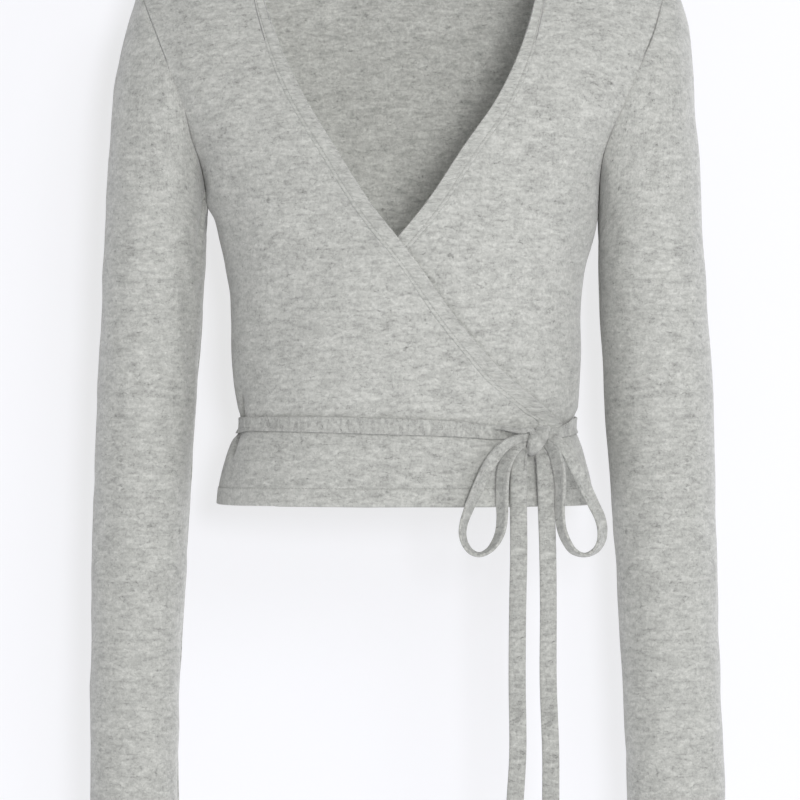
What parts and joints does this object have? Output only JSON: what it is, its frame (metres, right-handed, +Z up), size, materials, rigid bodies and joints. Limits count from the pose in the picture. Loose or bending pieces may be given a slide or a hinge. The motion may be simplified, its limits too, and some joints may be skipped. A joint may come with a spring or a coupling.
{
  "type": "wrap cardigan",
  "caption": "Cropped fine-knit wrap cardigan with long sleeves, filled out as worn, with crossed fronts, a flared lower edge and a narrow tie in a bow at the waist.",
  "frame": {"origin": "the level of the two neck points, where the shoulder seams meet the neckline, in the middle of the body from side to side and from front to back", "axes": "+Z up, the front faces -Y, the wearer's left side is +X"},
  "size_m": [0.4567, 0.2035, 0.6693],
  "materials": {
    "knit": "light grey heathered fine knit, brushed and soft",
    "band": "the same yarn in a narrow doubled edge with a stitched line",
    "tie": "the same yarn in a flat knitted strip with a finer grain"
  },
  "bodies": {
    "root": {"back_panel": "knit", "front_over": "knit", "front_under": "knit", "sleeve_right": "knit", "sleeve_left": "knit", "band_over": "band", "band_under": "band", "band_back_neck": "band", "tie_waist": "tie", "tie_knot": "tie", "tie_loop_right": "tie", "tie_loop_left": "tie", "tie_tail_right": "tie", "tie_tail_left": "tie"}
  },
  "joints": []
}
